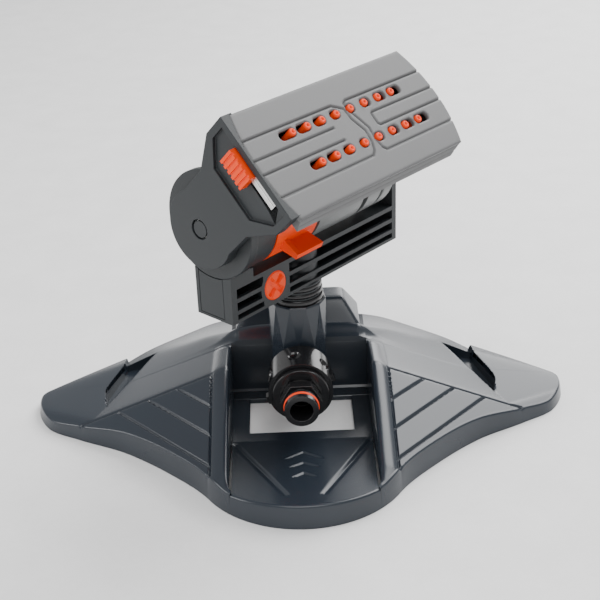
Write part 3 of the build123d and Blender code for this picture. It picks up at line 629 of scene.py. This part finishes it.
def head_face(name):
    """The spray face: a sheet with engraved lines, cut out round each nozzle's slot."""
    t, f = np.meshgrid(np.linspace(HEAD_LOW, HEAD_HIGH, 131), np.linspace(0, 1, 300),
                       indexing="ij")
    u = -head_end(t, LEFT_BULGE) * (1 - f) + head_end(t, RIGHT_BULGE) * f
    cut = np.full(u.shape, np.inf)
    for _, along, up, way, travel in nozzle_places():
        near_u, near_t, away = nearest_on(u, t, (along, up), (along + way * travel, up))
        edge = np.abs(away - SLOT_HALF) < 0.3
        pull = SLOT_HALF / np.where(away > 0, away, 1)
        u = np.where(edge, near_u + (u - near_u) * pull, u)
        t = np.where(edge, near_t + (t - near_t) * pull, t)
        cut = np.minimum(cut, nearest_on(u, t, (along, up), (along + way * travel, up))[2])
    ends = np.minimum(u + head_end(t, LEFT_BULGE), head_end(t, RIGHT_BULGE) - u)
    border = np.minimum(np.minimum(HEAD_HIGH - t, t - HEAD_LOW), ends)
    border = np.clip(np.minimum(border, (cut - SLOT_HALF) * 2), 0, None)
    high = FACE_R - 0.45 * np.exp(-border / 0.3) - engraved(u, t, FACE_GROOVES, 0.95, 0.40)
    quads = grid_faces(*u.shape)
    centre_u, centre_t = u.ravel()[quads].mean(axis=1), t.ravel()[quads].mean(axis=1)
    keep = np.ones(len(quads), bool)
    for _, along, up, way, travel in nozzle_places():
        keep &= nearest_on(centre_u, centre_t, (along, up), (along + way * travel, up))[2] > SLOT_HALF
    upper = head_point(u, t, high).reshape(-1, 3)
    lower = head_point(u, t, np.full(u.shape, SEAM_R)).reshape(-1, 3)
    points, faces = sheet(upper, lower, quads[keep])
    piece = new_piece(name, points, faces, "face_grey", "head", "head_cover")
    piece.data.set_sharp_from_angle(angle=math.radians(50))


def head_strip(name):
    """The strip under the face's lower edge: it slopes outwards, with two fine grooves, and its right
    end is cut back."""
    section = ((-26.9, 48.7), (-27.2, 48.4), (-27.0, 48.1), (-27.4, 47.8), (-28.1, 46.5), (-27.9, 46.2),
               (-28.4, 45.9), (-29.3, 44.3), (-29.2, 43.9), (-28.8, 43.7), (-21, 43.7), (-21, 48.7))
    t, r = np.array(section, float).T
    right = head_end(np.full_like(t, HEAD_LOW), RIGHT_BULGE) - 1.1 * (48.7 - r)
    rows = [head_point(-54.9 * (1 - share) + right * share, t, r) for share in np.linspace(0, 1, 60)]
    rows = [np.repeat(rows[0].mean(axis=0, keepdims=True), len(section), axis=0)] + rows
    rows.append(np.repeat(rows[-1].mean(axis=0, keepdims=True), len(section), axis=0))
    faces = grid_faces(len(rows), len(section), wrap=True)
    piece = new_piece(name, np.concatenate(rows), faces[:, ::-1], "face_grey", "head")
    piece.data.set_sharp_from_angle(angle=math.radians(30))


def rail_strip(name):
    """The steel strip that the slider runs along: a flat section with a fine groove."""
    section = ((-58.3, 42.8), (-58.9, 42.8), (-58.9, 44.5), (-58.6, 44.7), (-58.6, 45.0), (-58.9, 45.2),
               (-58.9, 46.8), (-58.3, 46.8))
    u, r = np.array(section, float).T
    middle = np.full_like(u, u.mean()), np.full_like(r, r.mean())
    rows = [head_point(middle[0], np.full_like(u, -16.4), middle[1])]
    rows += [head_point(u, np.full_like(u, t), r) for t in np.linspace(-16.4, 11.9, 12)]
    rows += [head_point(middle[0], np.full_like(u, 11.9), middle[1])]
    faces = grid_faces(len(rows), len(section), wrap=True)
    piece = new_piece(name, np.concatenate(rows), faces, "steel", "head")
    piece.data.set_sharp_from_angle(angle=math.radians(20))


def plug_face(name):
    """The filter plug's face: a disc with a rounded rim and a sunk cross whose arms widen outwards."""
    ring, turn = np.meshgrid(np.linspace(0.02, 1, 44), np.linspace(0, 2 * math.pi, 144, endpoint=False),
                             indexing="ij")
    x, z = PLUG_RADIUS * ring * np.cos(turn), PLUG_RADIUS * ring * np.sin(turn)
    across, along = (x + z) / math.sqrt(2), (x - z) / math.sqrt(2)
    first = 1.0 + 0.16 * np.abs(along) - np.abs(across)
    second = 1.0 + 0.16 * np.abs(across) - np.abs(along)
    inside = np.minimum(np.maximum(first, second), (5.9 - PLUG_RADIUS * ring))
    inside = np.maximum(inside, 2.1 - PLUG_RADIUS * ring)
    depth = 1.6 * np.clip(inside / 0.5, 0, 1) + 0.5 * np.clip((ring - 0.93) / 0.07, 0, 1) ** 2
    points = yoke_point(PLUG_U + x, -PLUG_FRONT - 0.35 + depth, PLUG_Z + z).reshape(-1, 3)
    back = yoke_point(PLUG_U + x, np.full_like(x, 2.4 - PLUG_FRONT), PLUG_Z + z).reshape(-1, 3)
    points, faces = sheet(points, back, grid_faces(*x.shape, wrap=True))
    piece = new_piece(name, points, faces, "orange", "plug")
    piece.data.set_sharp_from_angle(angle=math.radians(40))


def turned(profile, place, steps=48):
    """Points of a profile (radius, height) turned about an upright line, ring by ring."""
    turn = np.linspace(0, 2 * math.pi, steps, endpoint=False)
    radius, height = (np.array(c, float)[:, None] for c in zip(*profile))
    return place(radius * np.cos(turn), radius * np.sin(turn), height + 0 * turn)


def nozzle_finish(name, along, up):
    """A nozzle: its stem narrows a little to a rounded tip with a funnel in it."""
    profile = ((0.01, NOZZLE_ROOT), (1.95, NOZZLE_ROOT), (1.95, 46.0), (1.8, 50.4), (1.72, 50.9),
               (1.5, 51.25), (1.1, NOZZLE_TIP), (0.75, 51.3), (0.5, 50.9), (0.42, 49.4), (0.01, 49.3))
    rings = turned(profile, lambda x, y, z: head_point(along + x, up + y, z), 28)
    faces = grid_faces(len(profile), 28, wrap=True)
    piece = new_piece(name + "_finished", rings.reshape(-1, 3), faces[:, ::-1], "orange_rubber", name, name)
    piece.data.set_sharp_from_angle(angle=math.radians(60))


def neck_rings(name):
    """The neck's ring grooves over the collar."""
    profile = ((11.0, 66.0), (12.5, 66.1), (12.6, 66.6), (12.6, 68.0), (12.3, 68.4), (11.6, 68.5),
               (11.6, 69.3), (12.0, 69.4), (12.3, 69.8), (12.3, 71.2), (12.0, 71.6), (11.4, 71.7),
               (11.4, 72.5), (11.9, 72.7), (12.1, 73.1), (12.1, 74.6), (11.8, 75.0), (11.0, 75.1))
    rings = turned(profile, lambda x, y, z: np.stack((x, y, z), axis=-1))
    faces = grid_faces(len(profile) + 1, 48, wrap=True) % (len(profile) * 48)
    piece = new_piece(name, rings.reshape(-1, 3), faces[:, ::-1], "black_gloss", "yoke")
    piece.data.set_sharp_from_angle(angle=math.radians(40))


def collar_facets(name, sides=11, radius=13.85, low=43.5, high=65.0):
    """The cut on the tee's collar: flat triangles with their points up and down by turns, where a ring of
    corners and a second ring, half a step further round, are joined straight."""
    half = math.pi / sides
    rings = ((12.6, low - 0.7, 0), (radius - 0.5, low - 0.5, 0), (radius, low, 0), (radius, high, half),
             (radius - 0.5, high + 0.6, half), (12.6, high + 0.6, half))
    turn = np.arange(sides) * 2 * half + 0.15
    points = np.concatenate([np.column_stack((r * np.cos(turn + shift), r * np.sin(turn + shift),
                                              np.full(sides, z))) for r, z, shift in rings])
    quads = grid_faces(len(rings) + 1, sides, wrap=True) % len(points)
    faces = np.concatenate((quads[:, (0, 3, 1)], quads[:, (3, 2, 1)]))
    piece = new_piece(name, points, faces, "base_navy", "base")
    piece.data.set_sharp_from_angle(angle=math.radians(4))


# ---- The scene -----------------------------------------------------------------------------
camera()
area_light("overhead", (0.55, 0.45, 0.95), (0, 0, 0.05), 0.8, 15.0)
area_light("behind", (0.6, 1.3, 0.62), (0, 0, 0.05), 1.0, 13.0)
area_light("front", (0.0, -0.72, 1.05), (0, 0, 0.08), 0.8, 8.0)
area_light("left", (-1.0, -0.25, 0.5), (0, 0, 0.08), 0.4, 4.0)
world = bpy.data.worlds.new("room")
world.use_nodes = True
world.node_tree.nodes["Background"].inputs["Color"].default_value = (1, 1, 1, 1)
world.node_tree.nodes["Background"].inputs["Strength"].default_value = 0.62
bpy.context.scene.world = world

floor_mesh = bpy.data.meshes.new("floor")
floor_mesh.from_pydata([(-3, -3, 0), (3, -3, 0), (3, 3, 0), (-3, 3, 0)], [], [(0, 1, 2, 3)])
floor_mesh.materials.append(moulded("pale floor", (0.86, 0.86, 0.86), 0.7, 300.0, 0.0))
floor = bpy.data.objects.new("floor", floor_mesh)
floor.location.z = cad_box[0][2] - 0.0002
bpy.context.scene.collection.objects.link(floor)

for node, thing in frame["nodes"].items():
    slot = next(s["material_slot"] for s in frame["record"]["subparts"] if s["node"] == node)
    thing.data.materials.clear()
    thing.data.materials.append(FINISHES[slot])

base_moulding()
collar_facets("collar_facets")
neck_rings("neck_rings")
head_face("spray_face")
head_strip("face_strip")
rail_strip("rail_strip")
plug_face("plug_face")
for nozzle, along, up, _, _ in nozzle_places():
    nozzle_finish(nozzle, along, up)
for node, width in (("tee_piece", 0.4), ("neck_ring", 0.5), ("flow_collar", 0.8),
                    ("flow_valve_body", 0.5), ("tap_nipple", 0.5), ("neck_tube", 0.4), ("yoke_frame", 0.35),
                    ("left_panel", 0.25), ("left_housing", 0.8), ("range_ring", 0.5), ("drive_housing", 0.4),
                    ("drive_band", 0.4), ("drive_cap", 1.2), ("filter_plug", 0.3),
                    ("head_tray", 0.4), ("left_arm", 0.5), ("right_arm", 0.4), ("pivot_cap", 0.3),
                    ("width_slider", 0.3), ("slider_rail", 0.1)):
    soften(node, width)
